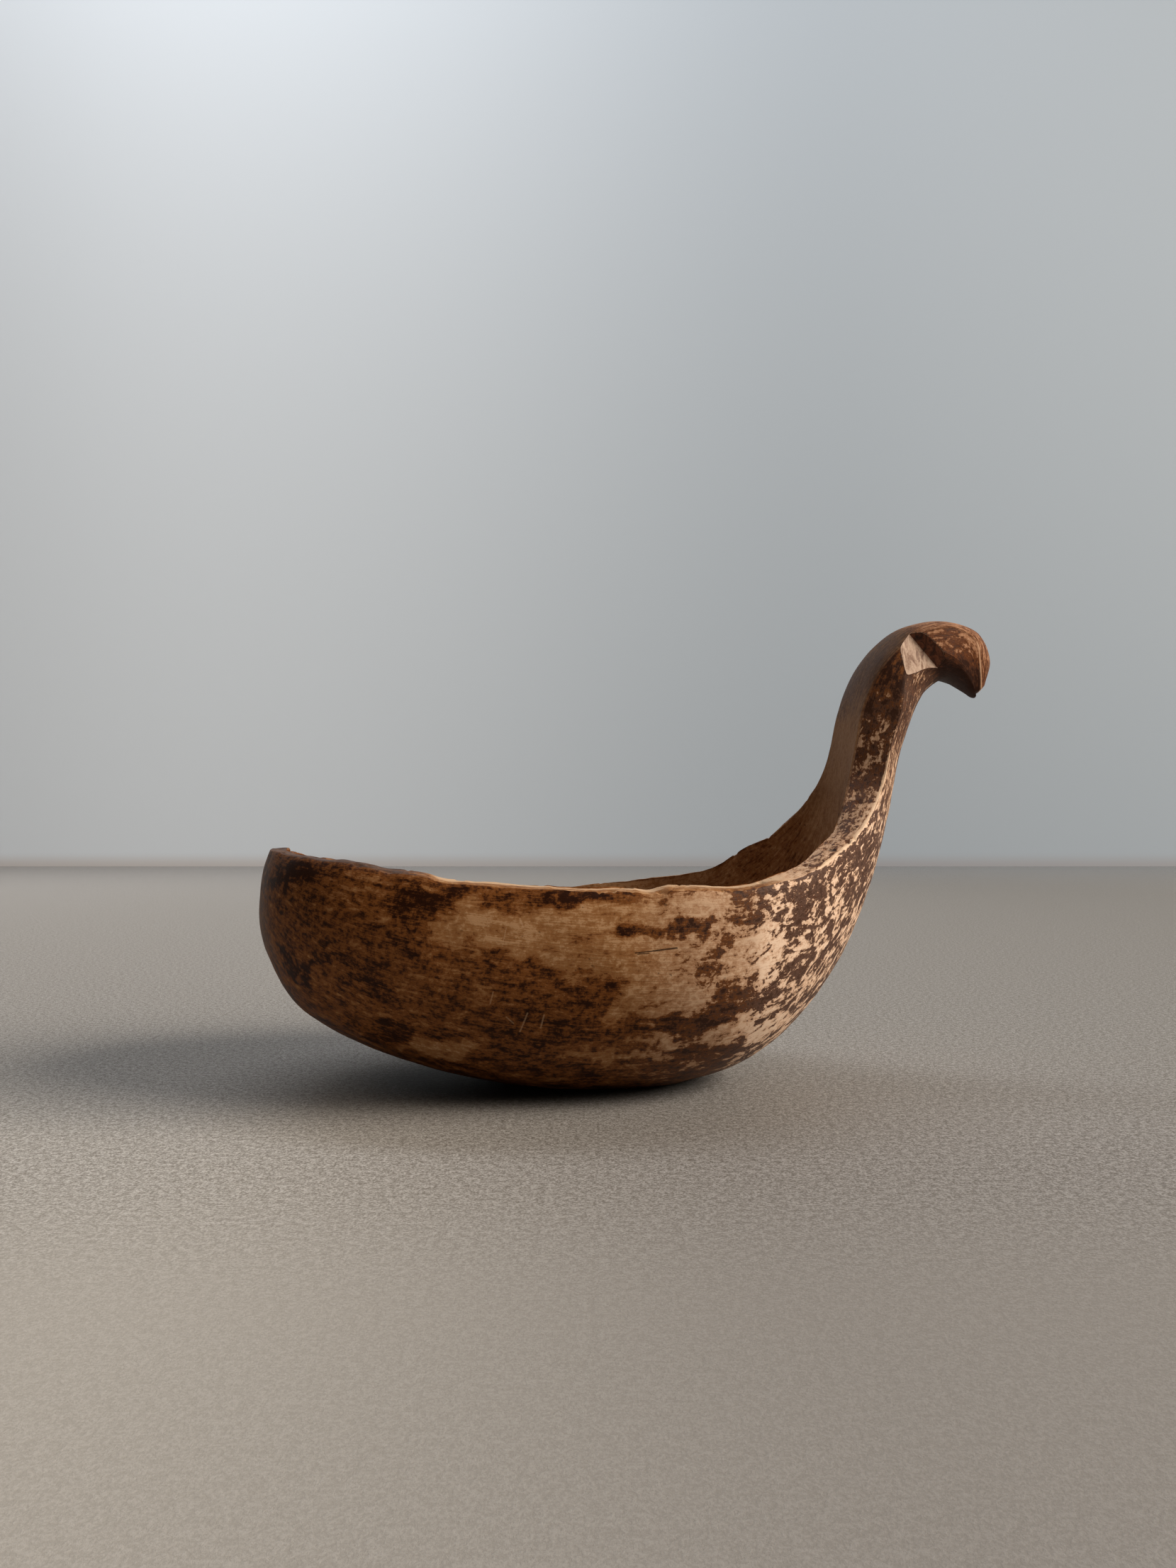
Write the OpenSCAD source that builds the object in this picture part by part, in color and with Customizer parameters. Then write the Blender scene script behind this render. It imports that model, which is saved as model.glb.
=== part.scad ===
// Carved wooden feed scoop: one block of wood, dug out into an oval bowl whose end rises
// into a strap neck that bends back and ends in a small hooked head.
// +X runs from the bowl's front tip to the hook, +Z is up, Y = 0 is the middle plane.
// The origin is the middle of the worn flat under the bowl.

/* [Bowl] */
// Length from the bowl's front tip to the end of the hooked head
scoop_length = 219; // [195:1:245]
// Width across the outside of the rim
bowl_width = 128; // [110:1:145]
// Height of the top of the head above the table
scoop_height = 136; // [120:1:155]
// How much lower the far wall's rim is than the near one's, as it was carved
far_rim_drop = 5; // [0:0.5:6]
// How far the rounded keel is worn flat underneath
keel_wear = 1.0; // [0.5:0.1:1.6]

/* [Neck and head] */
// Width across the back of the neck at its narrowest
neck_width = 30; // [25:1:35]
// How deep the notch behind the head is cut into each side
notch_depth = 4; // [2:0.1:5]

/* [Smoothness] */
// Rings made between two stations
steps = 5; // [2:1:6]
// Facets on each half of a ring, from the edge to the middle plane
facets = 13; // [6:1:14]

/* [Hidden] */

// The carving is lofted through these stations, from the front tip to the tip of the beak.
// Each gives the outer edge [x, half width, z], the inner edge [x, half width, z],
// the middle of the outside [x, z], the middle of the inside [x, z] and the angle at
// which the outside's arc starts: below 0 the wall leans in at the rim, above 0 the
// outside meets the edge in a ridge.
STATIONS = [
    // bowl, front tip
    [[-93.5, 0, 67.5], [-89, 0, 67.5], [-93.5, 67.5], [-89, 67.5], -8],
    [[-91, 21, 67.5], [-87, 17, 67.5], [-96, 56], [-90.5, 56], -8],
    [[-79, 41, 65.5], [-76.5, 36, 65.5], [-94.5, 39], [-88.5, 41], -8],
    [[-54, 56, 61.5], [-53, 50.5, 62], [-82.5, 21.5], [-77, 26.5], -8],
    // bowl, middle
    [[-23, 63, 58.5], [-22.5, 57, 59], [-56, 8.5], [-53, 15.5], -8],
    [[8, 64, 58], [7.5, 58, 59], [-19, 0], [-18, 8], -8],
    [[30, 61, 58.5], [28.5, 55, 59.5], [19, 0], [18, 8], -6],
    // bowl, back: the rim climbs and turns into the side of the neck
    [[46, 53, 61.5], [43.5, 47, 63], [45.5, 8.5], [42, 16], 0],
    [[58.5, 43, 67.5], [54, 36, 68.5], [65.5, 29.5], [58.5, 34], 5],
    [[68.5, 33, 74], [62.5, 25.5, 74.5], [77, 50.5], [68.5, 54], 10],
    // neck
    [[75, 25.5, 80], [68.5, 18, 81.5], [83, 67], [72.5, 71], 15],
    [[80, 20, 87.5], [72.5, 12.5, 90], [87.5, 81], [74.2, 86], 20],
    [[84, 16.5, 98.5], [75, 11, 99], [91.2, 94], [75.5, 99.5], 25],
    [[88, 15, 109], [77.8, 11, 110.5], [95.6, 105.8], [78, 112.5], 25],
    [[90, 13.5, 119], [83.5, 12.5, 122], [100.2, 114], [83, 125], 22],
    // head
    [[93, 13, 126.5], [93.5, 12.5, 130.5], [105, 118.3], [93, 134.4], 20],
    [[103, 12, 126], [105, 12, 134], [108.3, 119.2], [104.8, 137.2], 20],
    [[109.5, 9.5, 123.2], [114, 9.8, 130.3], [112.4, 118], [117.5, 134.5], 20],
    [[114.5, 6, 119.3], [116.8, 7, 122.5], [115.8, 115.6], [122.7, 126.3], 20],
    [[116.8, 3, 115.6], [118.8, 3.5, 116.5], [118, 114], [121.2, 118.3], 20],
];
// The length, bowl width, height and neck width that the stations are given at
NOMINAL = [219, 128, 136, 30];
// Height of the rim halfway along
RIM_HEIGHT = 58;
// Stations up to this one take the bowl's width, and those from NECK_FIRST on the neck's
BOWL_STATIONS = 8;
NECK_FIRST = 11;

// The notch behind the head: its valley as [x, share of the depth, z], the line on the
// side that each of its two walls reaches as [x, distance from the middle plane, z]
NOTCH_VALLEY = [[90, 0.5, 134], [104, 1.2, 120]];
NOTCH_LOWER = [90, 13.4, 125.5];
NOTCH_UPPER = [97.8, 12.9, 131];
NOTCH_SIDE = 13;
// How many times as far as the side the cutting wedge's walls run
NOTCH_REACH = 1.8;
// Depth of the slab that the worn flat is cut with
UNDER = 10;

function mix(a, b, u) = a + (b - a) * u;

// A nominal point at the size asked for
function at_size(p) = [p[0] * scoop_length / NOMINAL[0], p[1] * neck_width / NOMINAL[3],
    p[2] * scoop_height / NOMINAL[2]];

// Catmull-Rom step between b and c
function blend(a, b, c, d, u) =
    0.5 * (2 * b + (c - a) * u + (2 * a - 5 * b + 4 * c - d) * u * u
    + (3 * b - a - 3 * c + d) * u * u * u);

// How much a station takes of the neck's width: 0 on the bowl, 1 on the neck and head
function neck_share(i) = max(0, min(1, (i - BOWL_STATIONS) / (NECK_FIRST - BOWL_STATIONS)));
function width_scale(i) = mix(bowl_width / NOMINAL[1], neck_width / NOMINAL[3], neck_share(i));

// One station as a flat list, at the size asked for
function station(i) =
    let(s = STATIONS[i], kx = scoop_length / NOMINAL[0], kw = width_scale(i),
        kz = scoop_height / NOMINAL[2])
    [s[0][0] * kx, s[0][1] * kw, s[0][2] * kz, s[1][0] * kx, s[1][1] * kw, s[1][2] * kz,
     s[2][0] * kx, s[2][1] * kz, s[3][0] * kx, s[3][1] * kz, s[4]];

last = len(STATIONS) - 1;
function row(i) =
    i < 0 ? 2 * station(0) - station(1)
    : i > last ? 2 * station(last) - station(last - 1)
    : station(i);

// Height of a point once the far side is carved lower: nothing at the keel, all of it at the rim
function lowered(y, z) = y <= 0 ? z : z * (1 - far_rim_drop / RIM_HEIGHT * pow(2 * y / bowl_width, 2));

// Points of one half ring, from the near edge under the middle to the far edge
function half_ring(edge, middle, start) =
    [for (k = [0:2 * facets])
        let(side = k <= facets ? -1 : 1,
            a = mix(start, 90, 1 - abs(k - facets) / facets),
            depth = (sin(a) - sin(start)) / (1 - sin(start)),
            out = k == facets ? 0 : cos(a) / cos(start))
        [mix(edge[0], middle[0], depth), side * edge[1] * out,
         lowered(side * edge[1] * out, mix(edge[2], middle[1], depth))]];

// A whole ring: the outside from near to far, then the inside back again
function reversed(v) = [for (k = [len(v) - 1:-1:0]) v[k]];
function ring(r) = concat(
    half_ring([r[0], r[1], r[2]], [r[6], r[7]], r[10]),
    reversed(half_ring([r[3], r[4], r[5]], [r[8], r[9]], r[10])));

rings = [for (i = [0:last - 1], k = [0:steps - 1])
    if (i > 0 || k > 0)
        ring(blend(row(i - 1), row(i), row(i + 1), row(i + 2), k / steps))];
around = len(rings[0]);

// The front tip, where the rim's two sides meet, is one point outside and one inside
tip = station(0);
tip_points = [[tip[0], 0, tip[2]], [tip[3], 0, tip[5]]];
all_rings = concat(rings, [ring(station(last))]);
loft_points = concat(tip_points, [for (r = all_rings) for (p = r) p]);

// Index of point k of ring i
function at(i, k) = len(tip_points) + i * around + k % around;
outer_last = 2 * facets;
loft_faces = concat(
    // fans at the tip: outside, the rim's two halves and inside
    [for (k = [0:outer_last - 1]) [0, at(0, k), at(0, k + 1)]],
    [for (k = [outer_last + 1:around - 2]) [1, at(0, k), at(0, k + 1)]],
    [[0, at(0, outer_last), at(0, outer_last + 1)], [0, at(0, outer_last + 1), 1]],
    [[0, 1, at(0, around - 1)], [0, at(0, around - 1), at(0, 0)]],
    // the wall, two triangles to a patch
    [for (i = [0:len(all_rings) - 2], k = [0:around - 1]) [at(i, k), at(i + 1, k), at(i, k + 1)]],
    [for (i = [0:len(all_rings) - 2], k = [0:around - 1])
        [at(i, k + 1), at(i + 1, k), at(i + 1, k + 1)]],
    // the end of the beak
    [[for (k = [around - 1:-1:0]) at(len(all_rings) - 1, k)]]);

module carving() {
    polyhedron(points = loft_points, faces = loft_faces, convexity = 8);
}

// A V cut into the side at y < 0: a wedge whose edge lies in the notch's valley
module notch() {
    v = [for (p = NOTCH_VALLEY) at_size([p[0], p[1] * notch_depth - NOTCH_SIDE, p[2]])];
    run = (v[1] - v[0]) / norm(v[1] - v[0]);
    // From the valley squarely out to a point on the side
    function out(p) =
        let(d = at_size([p[0], -p[1], p[2]]) - v[0]) NOTCH_REACH * (d - (d * run) * run);
    lower = out(NOTCH_LOWER);
    upper = out(NOTCH_UPPER);
    polyhedron(
        points = [v[0], v[1], v[0] + lower, v[1] + lower, v[0] + upper, v[1] + upper],
        faces = [[0, 4, 2], [1, 3, 5], [0, 2, 3, 1], [0, 1, 5, 4], [2, 4, 5, 3]]);
}

// Everything under the table top, which the worn keel has lost
module worn_away() {
    translate([-scoop_length / 2, -bowl_width / 2, -UNDER])
        cube([scoop_length, bowl_width, UNDER]);
}

module scoop() {
    color("saddlebrown")
        difference() {
            translate([0, 0, -keel_wear])
                difference() {
                    carving();
                    notch();
                    mirror([0, 1, 0])
                        notch();
                }
            worn_away();
        }
}

scoop();
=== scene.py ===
"""The looks of the carved wooden feed scoop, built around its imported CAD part.

The scoop is one piece of wood. Its CAD solid is lofted through stations; the visible mesh is
lofted through the same stations far more finely, with softened arrises, an uneven rim,
chips, nicks and the notch behind the head, and carries its worn patina as a node material.
"""

import math

import bmesh
import bpy
import numpy as np
from mathutils import Matrix, Vector, noise


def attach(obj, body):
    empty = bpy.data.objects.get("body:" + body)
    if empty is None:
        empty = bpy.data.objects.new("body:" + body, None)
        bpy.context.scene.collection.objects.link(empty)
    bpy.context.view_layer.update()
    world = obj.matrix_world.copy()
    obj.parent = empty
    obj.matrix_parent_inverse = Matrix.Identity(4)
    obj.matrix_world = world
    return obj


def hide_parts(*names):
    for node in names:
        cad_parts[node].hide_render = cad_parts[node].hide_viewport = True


MM = 0.001

# ---------------------------------------------------------------------------------------
# Shape: the CAD's stations, from the front tip to the tip of the beak, in millimetres
# ---------------------------------------------------------------------------------------
# Each row: the outer edge x, half width, z; the inner edge x, half width, z; the middle of
# the outside x, z; the middle of the inside x, z; the angle where the outside's arc starts.
STATIONS = np.array([
    # bowl, front tip
    [-93.5, 0, 67.5, -89, 0, 67.5, -93.5, 67.5, -89, 67.5, -8],
    [-91, 21, 67.5, -87, 17, 67.5, -96, 56, -90.5, 56, -8],
    [-79, 41, 65.5, -76.5, 36, 65.5, -94.5, 39, -88.5, 41, -8],
    [-54, 56, 61.5, -53, 50.5, 62, -82.5, 21.5, -77, 26.5, -8],
    # bowl, middle
    [-23, 63, 58.5, -22.5, 57, 59, -56, 8.5, -53, 15.5, -8],
    [8, 64, 58, 7.5, 58, 59, -19, 0, -18, 8, -8],
    [30, 61, 58.5, 28.5, 55, 59.5, 19, 0, 18, 8, -6],
    # bowl, back: the rim climbs and turns into the side of the neck
    [46, 53, 61.5, 43.5, 47, 63, 45.5, 8.5, 42, 16, 0],
    [58.5, 43, 67.5, 54, 36, 68.5, 65.5, 29.5, 58.5, 34, 5],
    [68.5, 33, 74, 62.5, 25.5, 74.5, 77, 50.5, 68.5, 54, 10],
    # neck
    [75, 25.5, 80, 68.5, 18, 81.5, 83, 67, 72.5, 71, 15],
    [80, 20, 87.5, 72.5, 12.5, 90, 87.5, 81, 74.2, 86, 20],
    [84, 16.5, 98.5, 75, 11, 99, 91.2, 94, 75.5, 99.5, 25],
    [88, 15, 109, 77.8, 11, 110.5, 95.6, 105.8, 78, 112.5, 25],
    [90, 13.5, 119, 83.5, 12.5, 122, 100.2, 114, 83, 125, 22],
    # head
    [93, 13, 126.5, 93.5, 12.5, 130.5, 105, 118.3, 93, 134.4, 20],
    [103, 12, 126, 105, 12, 134, 108.3, 119.2, 104.8, 137.2, 20],
    [109.5, 9.5, 123.2, 114, 9.8, 130.3, 112.4, 118, 117.5, 134.5, 20],
    [114.5, 6, 119.3, 116.8, 7, 122.5, 115.8, 115.6, 122.7, 126.3, 20],
    [116.8, 3, 115.6, 118.8, 3.5, 116.5, 118, 114, 121.2, 118.3, 20],
], float)
LAST = len(STATIONS) - 1
KEEL_WEAR = 1.0
FAR_RIM_DROP = 5.0
RIM_HEIGHT = 58.0
BOWL_WIDTH = 128.0

# The mesh: rings along the scoop, and in a ring the points from an edge to the middle of the
# outside and of the inside, and across each rim; the share by which they crowd at an edge
RINGS = 430
OUTER_HALF = 52
INNER_HALF = 40
RIM_POINTS = 14
DENSER_AT_EDGE = 0.35

# Parts of a ring, by the index where each begins
FAR_EDGE = 2 * OUTER_HALF
FAR_INNER = FAR_EDGE + RIM_POINTS
NEAR_INNER = FAR_INNER + 2 * INNER_HALF
AROUND = NEAR_INNER + RIM_POINTS


def smooth(v, low=0.0, high=1.0):
    """0 at low, 1 at high, with soft ends."""
    t = np.clip((v - low) / (high - low), 0, 1)
    return t * t * (3 - 2 * t)


def stations_at(t):
    """Catmull-Rom between the stations, for an array of places from 0 to LAST."""
    padded = np.vstack([2 * STATIONS[0] - STATIONS[1], STATIONS,
                        2 * STATIONS[LAST] - STATIONS[LAST - 1]])
    i = np.clip(np.floor(t).astype(int), 0, LAST - 1)
    u = (t - i)[:, None]
    a, b, c, d = (padded[i + k] for k in range(4))
    return 0.5 * (2 * b + (c - a) * u + (2 * a - 5 * b + 4 * c - d) * u * u
                  + (3 * b - a - 3 * c + d) * u ** 3)


def half_ring(rows, edge, middle, count):
    """Points from the near edge under the middle to the far edge, for each row."""
    q = np.linspace(0, 1, count + 1)
    q = (1 - DENSER_AT_EDGE) * q + DENSER_AT_EDGE * q * q
    q = np.concatenate([q, q[-2::-1]])
    side = np.concatenate([-np.ones(count + 1), np.ones(count)])
    start = np.radians(rows[:, 10:11])
    a = start + (math.pi / 2 - start) * q
    depth = (np.sin(a) - np.sin(start)) / (1 - np.sin(start))
    out = np.cos(a) / np.cos(start)
    ex, ew, ez = (rows[:, edge + k:edge + k + 1] for k in range(3))
    mx, mz = (rows[:, middle + k:middle + k + 1] for k in range(2))
    return np.stack([ex + (mx - ex) * depth, side * ew * out, ez + (mz - ez) * depth], -1)


def between(a, b, count):
    """count - 1 points between two edges."""
    u = np.arange(1, count)[None, :, None] / count
    return a[:, None] * (1 - u) + b[:, None] * u


def rings_at(t):
    """Whole rings: outside near to far, far rim, inside far to near, near rim."""
    rows = stations_at(t)
    outer = half_ring(rows, 0, 6, OUTER_HALF)
    inner = half_ring(rows, 3, 8, INNER_HALF)[:, ::-1]
    ring = np.concatenate([outer, between(outer[:, -1], inner[:, 0], RIM_POINTS), inner,
                           between(inner[:, -1], outer[:, 0], RIM_POINTS)], 1)
    y = np.maximum(ring[..., 1], 0)
    ring[..., 2] *= 1 - FAR_RIM_DROP / RIM_HEIGHT * (2 * y / BOWL_WIDTH) ** 2
    return ring


# Rings measured between two stations to space the mesh's rings evenly
MEASURED = 60


def even_places():
    """Places along the stations that space the rings evenly, and how far along each is."""
    t = np.linspace(0, LAST, MEASURED * LAST + 1)
    moved = np.linalg.norm(np.diff(rings_at(t), axis=0), axis=2)
    step = 0.5 * moved.mean(1) + 0.5 * moved.max(1)
    far = np.concatenate([[0], np.cumsum(step)])
    along = np.linspace(0, far[-1], RINGS)
    return np.interp(along, far, t), along


def ring_index_distance(index):
    """How many points each ring index is from the given one, going round."""
    k = np.abs(np.arange(AROUND) - index)
    return np.minimum(k, AROUND - k)


# Softening of the arrises, as turns of a pull and its strength: over a few points at every
# edge, and over many on the head and where the rim's inner edge turns into the neck
CRISP_TURNS, CRISP_PULL, CRISP_POINTS = 6, 0.55, (2, 6)
BROAD_TURNS, BROAD_PULL, BROAD_POINTS = 90, 0.9, (5, 15)
HEAD_SOFT = (14.9, 15.7)
TURN_BEGINS, TURN_ENDS, TURN_SHARE = (7, 8.5), (11, 12.5), 0.8


def soften_arrises(ring, t):
    """Rounds the edges: a little on the rim and the neck, far more on the outside of the
    head, and widely where the rim's inner edge turns into the neck."""
    head = smooth(t, *HEAD_SOFT)
    turn = smooth(t, *TURN_BEGINS) * (1 - smooth(t, *TURN_ENDS))
    for edges, wide in (((0, FAR_EDGE), head), ((FAR_INNER, NEAR_INNER), TURN_SHARE * turn)):
        close = np.minimum(*(ring_index_distance(edge) for edge in edges))
        crisp = (1 - smooth(close, *CRISP_POINTS))[None, :] * CRISP_PULL
        broad = (1 - smooth(close, *BROAD_POINTS))[None, :] * wide[:, None]
        for turns, amount in ((CRISP_TURNS, crisp), (BROAD_TURNS, broad * BROAD_PULL)):
            for _ in range(turns):
                ring = ring + amount[..., None] * inward_pull(ring)
    return ring


def inward_pull(ring):
    """From each point to the middle of its two neighbours, without sliding round the ring."""
    before, after = np.roll(ring, 1, 1), np.roll(ring, -1, 1)
    pull, tangent = 0.5 * (before + after) - ring, after - before
    length = np.maximum((tangent ** 2).sum(2, keepdims=True), 1e-9)
    return pull - tangent * (pull * tangent).sum(2, keepdims=True) / length


def noise_of(points, size, octaves=3, offset=0.0):
    """Fractal noise from about -1 to 1 at each point, with features of that size in mm."""
    flat = points.reshape(-1, 3) / size + offset
    values = [noise.fractal(p, 1.0, 2.0, octaves) for p in flat.tolist()]
    return np.array(values).reshape(points.shape[:-1])


def normals_of(ring):
    """Outward normal at every point of the grid of rings."""
    along = np.gradient(ring, axis=0)
    around = 0.5 * (np.roll(ring, -1, 1) - np.roll(ring, 1, 1))
    n = np.cross(around, along)
    length = np.linalg.norm(n, axis=2, keepdims=True)
    return n / np.maximum(length, 1e-9)


# Places along the rim where it was knocked or carved down: x, half length, drop in mm
NEAR_RIM = [(-44, 9, 0.5), (-53, 5, -0.5), (-84, 5, 0.3), (-68, 6, -0.3), (3, 3, 0.8),
            (-20, 9, -0.2), (24, 6, 0.25), (38, 5, -0.4)]
FAR_RIM = [(-86, 9, 1.3), (-60, 7, 0.5), (-27, 24, 1.2), (0, 6, 0.5), (27, 11, -1.5),
           (45, 4, 0.4), (55, 4, -0.9)]
# Unevenness of the carving: the size of its features and their height, in mm. The swell is
# higher on the bowl, and the gouge marks, drawn out along it, are only inside it.
SWELL_SIZE, SWELL, SWELL_ON_BOWL = 30, 0.30, 0.35
RIPPLE_SIZE, RIPPLE = 8, 0.12
GOUGE_SIZE, GOUGE, GOUGE_STRETCH = 6.5, 0.28, [0.35, 1, 1]
CHIP_SIZE, CHIP, CHIP_STRETCH = 5.0, 0.22, [1, 0.3, 0.3]
# Nicks in the rim: the noise above which one is cut, and its depth in mm for each unit above
NICK_SIZE, NICK_ABOVE, NICK = 2.6, 0.42, 2.0
# How far from the rim its drops and its nicks reach, in mm
DROP_REACH, NICK_REACH = 5.0, 1.3
# Places where the bowl's unevenness ends
BOWL_ENDS = (9.5, 12)


def rim_drop(x, places):
    """The drops of all the given places together, at each x."""
    return sum(d * np.exp(-((x - c) / h) ** 2) for c, h, d in places)


def weathered(ring, t):
    """The grid of rings with the unevenness of hand carving and years of use."""
    bowl = (1 - smooth(t, *BOWL_ENDS))[:, None]
    inner = ring_mask(FAR_INNER, NEAR_INNER)[None, :]
    swell = noise_of(ring, SWELL_SIZE, 2) * (SWELL + SWELL_ON_BOWL * bowl)
    swell = swell + noise_of(ring, RIPPLE_SIZE, 3, 7.3) * RIPPLE
    gouge = noise_of(ring * GOUGE_STRETCH, GOUGE_SIZE, 2, 3.1) * GOUGE * inner * bowl
    ring = ring + normals_of(ring) * (swell + gouge)[..., None]
    x, from_rim = ring[..., 0], distance_from_rim(ring)
    drop = np.where(ring[..., 1] < 0, rim_drop(x, NEAR_RIM), rim_drop(x, FAR_RIM))
    drop += CHIP * noise_of(ring * CHIP_STRETCH, CHIP_SIZE, 3, 11.7)
    nick = NICK * np.maximum(noise_of(ring, NICK_SIZE, 2, 19.2) - NICK_ABOVE, 0)
    near_drop, near_nick = (np.exp(-(from_rim / reach) ** 2) for reach in (DROP_REACH, NICK_REACH))
    ring[..., 2] -= bowl * (near_drop * drop + near_nick * nick)
    return ring


def ring_mask(first, last):
    """1 for the ring indexes from the first to the last, 0 for the others."""
    k = np.arange(AROUND)
    return ((k >= first) & (k <= last)).astype(float)


# Shares of the way across the rim at which its crest ends and its outer side begins
CREST_ENDS = (0.3, 0.85)


def across_rim():
    """How far each ring index is from the rim's crest, its inner edge, to its outer one."""
    up = np.arange(1, RIM_POINTS) / RIM_POINTS
    whole = np.zeros(AROUND)
    whole[FAR_EDGE + 1:FAR_INNER], whole[NEAR_INNER + 1:] = 1 - up, up
    return smooth(whole, *CREST_ENDS)


def distance_to(ring, indexes):
    """Distance in mm round the ring from each point to the nearest of the given ones."""
    step = np.linalg.norm(np.roll(ring, -1, 1) - ring, axis=2)
    run = np.concatenate([np.zeros((len(ring), 1)), np.cumsum(step, 1)], 1)
    whole, run = run[:, -1:], run[:, :-1]
    apart = [np.abs(run - run[:, index:index + 1]) for index in indexes]
    return np.minimum(*(np.minimum(d, whole - d) for d in apart))


def distance_from_rim(ring):
    """Surface distance in mm from the nearest edge, 0 on the rim itself."""
    step = np.linalg.norm(np.roll(ring, -1, 1) - ring, axis=2)
    far = np.zeros(ring.shape[:2])
    for a, b in ((0, FAR_EDGE), (FAR_INNER, NEAR_INNER)):
        run = np.concatenate([np.zeros((len(ring), 1)), np.cumsum(step[:, a:b], 1)], 1)
        far[:, a:b + 1] = np.minimum(run, run[:, -1:] - run)
    return far


# How far round the ring each stretch reaches in the grain's own measure, in mm, so that the
# grain runs from the bowl into the neck without shearing
GRAIN_OUTER, GRAIN_RIM, GRAIN_INNER = 170.0, 12.0, 150.0


def grain_around():
    """Place round the ring for each ring index: the grain's lines keep to one value."""
    q = np.linspace(0, 1, OUTER_HALF + 1)
    outer = np.concatenate([q, 2 - q[-2::-1]]) / 2 * GRAIN_OUTER
    far = GRAIN_OUTER + np.arange(1, RIM_POINTS) / RIM_POINTS * GRAIN_RIM
    inner = GRAIN_OUTER + GRAIN_RIM + np.linspace(0, GRAIN_INNER, 2 * INNER_HALF + 1)
    near = -GRAIN_RIM + np.arange(1, RIM_POINTS) / RIM_POINTS * GRAIN_RIM
    return np.concatenate([outer, far, inner, near])


# ---------------------------------------------------------------------------------------
# Wear: how much of the dark patina has gone, from 0 (all there) to 1 (bare wood), with painted
# shade and painted light laid into it in places
# ---------------------------------------------------------------------------------------
# Each patch: x, z, half length and half height in mm
NEAR_WORN = [
    (-30, 49, 20, 5.5),
    (-8, 46, 22, 9),
    (14, 44, 22, 12),
    (7, 31, 13, 5.5),
    (-4, 27, 5, 3),
    (30, 40, 11, 8),
    (-48, 16, 9, 2.6),
    (34, 21, 12, 4),
    (12, 19.5, 15, 1.6),
    (-8, 15, 14, 1.0),
]
FAR_WORN = [
    (-40, 42, 24, 9),
    (-5, 34, 22, 10),
    (22, 45, 16, 8),
    (38, 30, 9, 9),
]
# Dark patches: the same, and how much darker
NEAR_DARK = [
    (5, 47.5, 10, 2.2, 0.36),
    (20, 49.5, 12, 1.4, 0.24),
    (20, 41, 3.2, 5.0, 0.19),
    (25, 34, 8, 1.6, 0.18),
    (-47, 55, 10, 3.4, 0.17),
    (-15, 55.5, 10, 2.2, 0.27),
    (-30, 53.5, 12, 1.2, 0.14),
    (30, 51.5, 5.6, 4, 0.07),
    (49, 59, 6, 5, 0.08),
    (66, 64, 9, 14, 0.12),
    (40, 47, 3, 6, 0.10),
    (8, 25, 17, 2.0, 0.06),
    (-60, 21, 8, 3.0, 0.14),
    (-78, 36, 2.6, 4.2, 0.24),
    (-84, 37, 1.6, 4.0, 0.22),
    (-66, 35, 6, 1.6, 0.08),
    (-82, 61, 6, 2.0, 0.20),
    (-92, 60, 1.6, 4.5, 0.22),
    (-87, 58, 1.6, 4.5, 0.18),
]
FAR_DARK = [
    (-18, 40, 9, 1.8, 0.20),
    (12, 40, 5, 4, 0.20),
    (-55, 50, 9, 2, 0.15),
]

# How worn the wood is everywhere, and what a worn patch adds
BODY_WEAR = 0.37
PATCH_WEAR = 0.29
# How ragged the patches' outlines are: how far they drift along x and z, in mm
DRIFT_X, DRIFT_Z = 7, 3.6
# What the parts add to the wear: the back, and how much weaker its patches are
BACK_WEAR, BACK_PATCHES = 0.11, 0.4
# Inside: everywhere, towards the neck's foot, up the neck, painted light under the far rim, and
# the noise
INSIDE_WEAR, FOOT_WEAR, NECK_INSIDE_WEAR = 0.12, 0.16, -0.24
UNDER_FAR_RIM_PAINTED_LIGHT, INSIDE_NOISE = 0.40, 0.13
# On the neck's side: low down, further up and near the head; on the head, and under it where
# darker patina and painted shade lie together
NECK_LOW_WEAR, NECK_WEAR, NECK_TOP_WEAR = 0.16, 0.03, -0.13
HEAD_WEAR, UNDER_HEAD_PATINA_AND_SHADE = 0.08, -0.36
# On the rim: where hands rub it, and at the front
RIM_WEAR, FRONT_RIM_WEAR = 0.24, -0.16
# How far the patina comes off in flakes along the bowl's side, low on the neck's side and on
# the head, and how much less so up the back of the neck and near the head
SIDE_FLAKES, NECK_FLAKES, HEAD_FLAKES = 0.4, 0.60, 0.35
FEWER_UP_BACK, FEWER_NEAR_HEAD = 0.3, 0.45
# How strong the painted sheen, a grey reflection, is on the bowl's front tip and on the
# front of the rim
FRONT_TIP_SHEEN, FRONT_RIM_SHEEN = 0.8, 0.7
# Distance from the middle plane, in mm, over which the patches of a side begin
SIDE_PATCHES = (10, 24)

# Where one look turns into the next, along x in mm or by the place among the stations
BACK_X = (24, 42)
FLAKES_X = (-6, 24)
RUBBED_X = (-58, -46)
FRONT_RIM_X = (-66, -46)
FRONT_TIP_X = (-88, -95)
NECK_PLACE = (6.0, 7.0)
NECK_TOP = (12.6, 14)
RIM_ENDS = (6.4, 7.4)
HEAD_PLACE = (14.6, 15.4)
BEAK_PLACE = (16.2, 17.2)

# What is added to the distance from an edge where no hand rubs it, and the share in which the
# bowl's rim is rubbed compared with the edges that climb from it
OFF_EDGE = 5.0
RIM_RUBBED = 0.75
# On the bowl's rim, the distances that stand for its crest and for its outer side, what the
# far side adds, and the places where the near side is rubbed nearly all the way across, by x
# and half length in mm
RIM_CREST, RIM_OUTER, RIM_FAR = 0.1, 1.5, 0.35
RIM_BARE = [(-46, 4), (2, 5), (38, 4)]
RIM_BARE_SHARE = 0.75


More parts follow.
